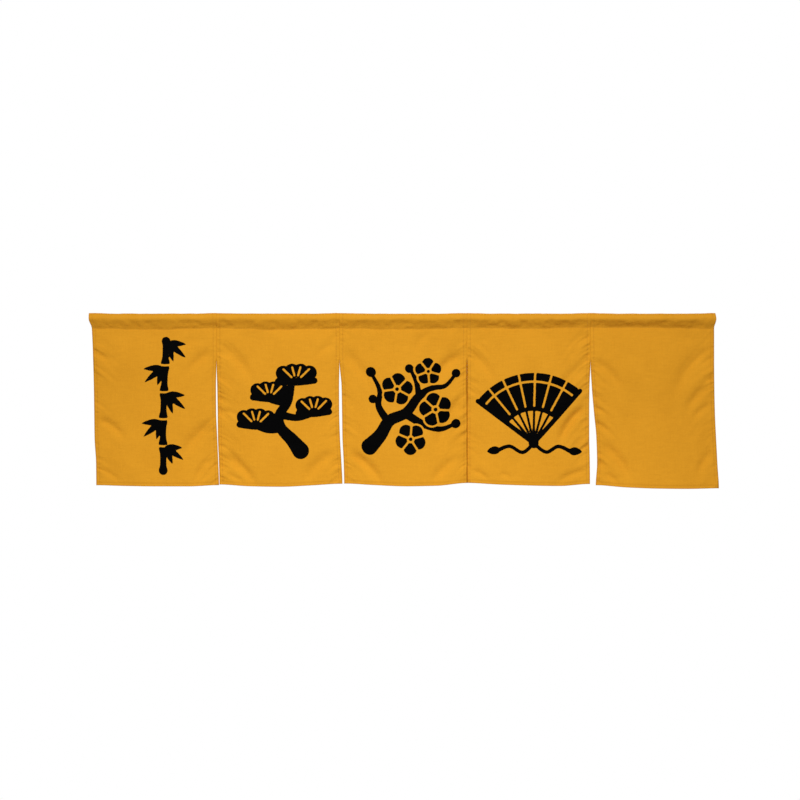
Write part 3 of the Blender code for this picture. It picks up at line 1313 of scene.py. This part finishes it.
@dataclass(frozen=True)
class Stitching:
    """The rows of stitches on one panel, joined as one piece.

    Attributes:
        panel: The panel that they hold.
        pitch: From stitch to stitch.
        length: One stitch's length.
        thread: The thread's thickness.
    """

    panel: Panel
    pitch: float = 3.0 * MM
    length: float = 2.3 * MM
    thread: float = 0.34 * MM

    def ends(self, low: float, high: float) -> tuple[np.ndarray, np.ndarray]:
        """Where the stitches of a row start and end along it.

        Args:
            low: The row's start.
            high: The row's end.

        Returns:
            The starts and the ends.
        """
        starts = np.arange(low, high - self.length, self.pitch)
        return starts, starts + self.length

    def down_row(self, across: float, low: float, high: float, raised: float) -> list[np.ndarray]:
        """A row that runs down the sheet.

        Args:
            across: Its place across the panel.
            low: Where it starts along the panel's section.
            high: Where it ends.
            raised: How far it lies to the cloth's wrong side.

        Returns:
            Each stitch's two ends.
        """
        path = self.panel.down_path()
        lengths, points, inward = path.lengths(), np.array(path.points), path.inward()
        both = []
        for at in self.ends(low, high):
            section = np.column_stack([np.interp(at, lengths, points[:, k]) for k in range(2)])
            ways = np.column_stack([np.interp(at, lengths, inward[:, k]) for k in range(2)])
            here = np.full(at.shape, across)
            both.append(self.panel.surface(here, np.full(at.shape, raised), section, ways))
        return both

    def across_row(self, depth: float, back: float, side: float) -> list[np.ndarray]:
        """A row that runs across the sheet.

        Args:
            depth: Its depth below the top edge.
            back: The layer that it lies on, as a distance behind the front layer.
            side: How far in front of that layer it lies, negative for behind.

        Returns:
            Each stitch's two ends.
        """
        both = []
        for at in self.ends(2 * MM, self.panel.width - 2 * MM):
            section = np.column_stack([np.full(at.shape, depth), np.full(at.shape, back)])
            ways = np.column_stack([np.zeros(at.shape), np.ones(at.shape)])
            both.append(self.panel.surface(at, np.full(at.shape, -side), section, ways))
        return both

    def rows(self) -> list[list[np.ndarray]]:
        """Every row: both side hems on both faces, the pocket's foot and the foot's hem."""
        path = self.panel.down_path()
        lengths, depths = path.lengths(), np.array(path.points)[:, 0]
        proud = CLOTH / 2 + 0.05 * MM
        top = int(np.argmin(depths))
        front = np.arange(len(depths)) > top
        pocket_foot = lengths[front][np.searchsorted(depths[front], POCKET_DROP + POCKET_FLAP)]
        foot = lengths[int(np.argmax(depths))] - LAYER * 2
        start = POCKET_FLAP
        inset = SIDE_HEM - STITCH_INSET
        laid = []
        for across in (inset, self.panel.width - inset):
            laid.append(self.down_row(across, start, foot, -proud))
            laid.append(self.down_row(across, pocket_foot, foot - FOOT_HEM, 2 * LAYER + proud))
        for depth in (POCKET_DROP + 1.5 * MM, FOOT_DROP - FOOT_HEM + STITCH_INSET):
            laid.append(self.across_row(depth, 0.0, proud))
            laid.append(self.across_row(depth, 2 * LAYER, -proud))
        return laid

    def build(self, finish: bpy.types.Material) -> bpy.types.Object:
        """Makes the stitches.

        Args:
            finish: The thread's finish.

        Returns:
            The piece.
        """
        starts, ends = (np.concatenate(side) for side in zip(*self.rows()))
        run = ends - starts
        across, out = np.cross(run, (0, 1, 0)), np.cross(run, np.cross(run, (0, 1, 0)))
        across *= self.thread / np.linalg.norm(across, axis=1)[:, None]
        out *= self.thread / np.linalg.norm(out, axis=1)[:, None]
        bm = bmesh.new()
        bmesh.ops.create_uvsphere(bm, u_segments=6, v_segments=3, radius=0.5)
        mesh = bpy.data.meshes.new(self.panel.name + "_stitching")
        bm.to_mesh(mesh)
        shape = read_array(mesh.vertices, "co", 3)
        for _ in run[1:]:
            bm.from_mesh(mesh)
        bm.to_mesh(mesh)
        bm.free()
        places = (starts + ends)[:, None] / 2 + shape @ np.stack([across, out, run], axis=1)
        mesh.vertices.foreach_set("co", places.ravel())
        mesh.shade_smooth()
        mesh.materials.append(finish)
        return put_in_scene(self.panel.name + "_stitching", mesh)


@dataclass
class Curtain:
    """The whole noren: five panels and their sewing.

    Attributes:
        good_side: The cloth's finish with its print.
        wrong_side: Its finish with the print showing through.
        thread: The stitches' finish.
        panels: The panels from left to right.
    """

    good_side: DyedCloth = DyedCloth(
        "mustard_cloth", (0.738, 0.321, 0.019), ink=(0.0005, 0.0005, 0.0006), cover=1.0
    )
    wrong_side: DyedCloth = DyedCloth(
        "mustard_cloth_back", (0.70, 0.305, 0.024), ink=(0.05, 0.03, 0.012), cover=0.72
    )
    thread: SewingThread = SewingThread("mustard_thread", (0.62, 0.25, 0.016))
    panels: tuple[Panel, ...] = field(default_factory=lambda: Curtain.panel_table())

    @staticmethod
    def panel_table() -> tuple[Panel, ...]:
        """The five panels from left to right as seen from the front."""
        seams = [x * MM for x in SEAM_X_MM]
        still = (0, 0, 0, 0)
        return (
            Panel(
                "panel_1", seams[0], seams[1],
                Edge((-8.2, -8.0, -0.5, 3.3, 4.9, 5.7, 6.6, 10.7, 11.2), 7, sewn_to_next=False),
                Edge((*still, -1.4, -1.0, 1.8, 4.9, 6.8), 3),
                (469.1, 471.1, 472.2, 472.2, 468.7), -6, -6,
                (
                    Crease((20, 292), (78, 334), 12, 5.6),
                    Crease((322, 108), (262, 160), 14, 4.9),
                    Crease((320, 306), (248, 380), 17, 7.4),
                    Crease((318, 396), (276, 458), 12, 5.6),
                    Crease((18, 112), (60, 132), 9, 2.5),
                    Crease((24, 430), (62, 458), 8, 2.9),
                    Crease((236, 92), (300, 70), 12, 1.8),
                ),
                10, Bamboo(), (194, 251),
            ),
            Panel(
                "panel_2", seams[1], seams[2],
                Edge((*still, 1.8, 2.9, 3.6, 6.4, 7.9), 6),
                Edge((*still, -1.1, -0.8, 1.2, 5.2, 7.9), 2),
                (467.1, 472.0, 473.2, 469.4, 465.0), -5, -6,
                (
                    Crease((18, 92), (92, 176), 14, 5.6),
                    Crease((24, 391), (98, 464), 13, 6.7),
                    Crease((314, 388), (238, 448), 16, 5.6),
                    Crease((318, 84), (276, 112), 10, 2.9),
                    Crease((16, 268), (60, 280), 9, 2.8),
                    Crease((22, 444), (70, 462), 8, 2.6),
                ),
                20, PineBough(), (182, 262), 0.08,
            ),
            Panel(
                "panel_3", seams[2], seams[3],
                Edge((*still, 5.5, 6.8, 7.8, 11.2, 12.6), 6),
                Edge((*still, 0, 1.0, 1.2, 1.2, 1.0), 0, curl_mm=5),
                (464.5, 468.7, 471.9, 470.4, 462.8), -6, -7,
                (
                    Crease((16, 108), (76, 200), 16, 5.3),
                    Crease((326, 112), (244, 208), 14, 9.0),
                    Crease((330, 240), (270, 352), 16, 7.8),
                    Crease((30, 391), (106, 462), 13, 6.4),
                    Crease((318, 400), (252, 460), 14, 5.6),
                    Crease((244, 44), (206, 106), 12, 2.9),
                ),
                30, PlumBranch(), (190, 262),
            ),
            Panel(
                "panel_4", seams[3], seams[4],
                Edge((*still, 0, -0.8, -1.0, -1.0, -0.8), 6, curl_mm=5),
                Edge((*still, -2.7, -3.3, -3.3, -1.9, -1.4), 2),
                (462.7, 466.9, 469.7, 471.1, 465.6), -5, -6,
                (
                    Crease((16, 112), (74, 186), 14, 4.9),
                    Crease((316, 145), (250, 222), 16, 4.9),
                    Crease((320, 262), (258, 344), 12, 9.3),
                    Crease((22, 436), (56, 458), 8, 3.7),
                    Crease((322, 434), (252, 458), 10, 4.0),
                    Crease((94, 440), (122, 452), 8, 2.6),
                ),
                50, FoldingFan(), (172, 262), 0.1,
            ),
            Panel(
                "panel_5", seams[4], seams[5],
                Edge((*still, 3.6, 9.8, 16.4, 18.3, 14.8), 10),
                Edge((3.3, 5.3, 0, 0.1, 1.0, 2.9, 6.3, 10.1, 13.7), 8, sewn_to_next=False),
                (469.1, 475.1, 478.2, 479.1, 477.5), -4, -9,
                (
                    Crease((16, 130), (80, 204), 13, 6.5),
                    Crease((312, 100), (232, 210), 18, 6.2),
                    Crease((322, 200), (262, 256), 13, 4.9),
                    Crease((26, 362), (88, 440), 14, 6.7),
                    Crease((322, 372), (284, 428), 12, 4.8),
                    Crease((324, 246), (276, 282), 9, 3.4),
                    Crease((24, 440), (62, 460), 8, 3.4),
                ),
                60, pocket_sag=0.2, pitch=3.4 * MM,
            ),
        )

    def build(self) -> None:
        """Makes each panel and its stitching, hangs them under the body's empty, hides the solids they
        stand for, and logs the cloth's cut size and the stitching's face count.
        """
        good_side, wrong_side = self.good_side.build(), self.wrong_side.build()
        thread = self.thread.build()
        for panel in self.panels:
            cloth = panel.build(good_side, wrong_side)
            stitches = Stitching(panel).build(thread)
            for piece, slot in ((cloth, "cloth"), (stitches, "thread")):
                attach(piece, BODY)
            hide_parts(panel.name)
            flat = (float(panel.across_path().lengths()[-1]), float(panel.down_path().lengths()[-1]))
            log.info("%s: cut %.0f by %.0f mm", cloth.name, flat[0] / MM, flat[1] / MM)
            log.info("%s: %d faces", stitches.name, len(stitches.data.polygons))


@dataclass(frozen=True)
class SoftLight:
    """A soft square light.

    Attributes:
        name: Its name.
        place: Where it stands.
        size: Its side.
        power: Its power in watts.
        target: What it points at.
        spread: How wide it throws its light, in degrees.
    """

    name: str
    place: tuple[float, float, float]
    size: float
    power: float
    target: tuple[float, float, float] = (-0.06, 0, -1.1)
    spread: float = 45

    def build(self) -> None:
        """Stands the light and points it."""
        data = bpy.data.lights.new(self.name, "AREA")
        data.size = self.size
        data.spread = math.radians(self.spread)
        data.energy = self.power
        light = put_in_scene(self.name, data)
        light.location = self.place
        way = Vector(self.target) - Vector(self.place)
        light.rotation_euler = way.to_track_quat("-Z", "Y").to_euler()


@dataclass
class Studio:
    """A white room, a pale floor far below the curtain, soft lights from the front, and the camera.

    Attributes:
        floor_drop: How far the floor lies below the rod.
        floor_radius: The floor's radius.
        camera_distance: From the camera to the cloth.
        view_width: What the picture's width takes in at the cloth.
        view_middle: The picture's middle, along x and z.
        ambient: How strongly the white room lights the cloth.
        floor: The floor's finish.
        lights: The main light and a weaker one behind.
    """

    floor_drop: float = 1.95
    floor_radius: float = 7.0
    camera_distance: float = 12.0
    view_width: float = 2.186
    view_middle: tuple[float, float] = (-0.0083, -0.2350)
    ambient: float = 0.16
    floor: PaleFloor = PaleFloor("pale_floor", (0.82, 0.82, 0.81), fade_start=1.6, fade_end=4.5)
    lights: tuple[SoftLight, ...] = (
        SoftLight("key", (-0.3, -6.8, 4.0), size=1.4, power=43.0),
        SoftLight("back", (0.8, 5.0, 2.6), size=2.0, power=25.8),
    )

    def add_floor(self) -> None:
        """Lays the floor."""
        bm = bmesh.new()
        bmesh.ops.create_circle(bm, cap_ends=True, segments=96, radius=self.floor_radius)
        bmesh.ops.recalc_face_normals(bm, faces=bm.faces)
        mesh = bpy.data.meshes.new("floor")
        bm.to_mesh(mesh)
        bm.free()
        mesh.transform(Matrix.Translation((0, 0, -self.floor_drop)))
        mesh.materials.append(self.floor.build())
        floor = put_in_scene("floor", mesh)

    def add_room(self) -> None:
        """Surrounds everything with white that lights the cloth evenly."""
        world = bpy.data.worlds.new("white_room")
        world.use_nodes = True
        bpy.context.scene.world = world
        nodes, links = world.node_tree.nodes, world.node_tree.links
        seen, lighting = nodes["Background"], nodes.new("ShaderNodeBackground")
        seen.inputs["Color"].default_value = (1, 1, 1, 1)
        seen.inputs["Strength"].default_value = 1.0
        lighting.inputs["Color"].default_value = (1, 1, 1, 1)
        lighting.inputs["Strength"].default_value = self.ambient
        rays, both = nodes.new("ShaderNodeLightPath"), nodes.new("ShaderNodeMixShader")
        links.new(rays.outputs["Is Camera Ray"], both.inputs[0])
        links.new(lighting.outputs[0], both.inputs[1])
        links.new(seen.outputs[0], both.inputs[2])
        links.new(both.outputs[0], nodes["World Output"].inputs["Surface"])

    def add_camera(self) -> None:
        """Stands the camera straight in front of the curtain."""
        data = bpy.data.cameras.new("camera")
        data.sensor_width = 36.0
        data.lens = data.sensor_width * self.camera_distance / self.view_width
        data.clip_end = 60.0
        camera = put_in_scene("camera", data)
        camera.location = (self.view_middle[0], -self.camera_distance, self.view_middle[1])
        camera.rotation_euler = (math.radians(90), 0, 0)
        bpy.context.scene.camera = camera

    def build(self) -> None:
        """Sets up the whole studio."""
        self.add_floor()
        self.add_room()
        for light in self.lights:
            light.build()
        self.add_camera()
        settings = bpy.context.scene.view_settings
        settings.view_transform = "Standard"
        settings.look = "None"
        log.info("studio: floor %.2f m below the rod", self.floor_drop)


def main() -> None:
    """Builds the curtain and the studio."""
    logging.basicConfig(level=logging.INFO, format="%(name)s: %(message)s")
    Studio().build()
    Curtain().build()


if __name__ == "__main__":
    main()
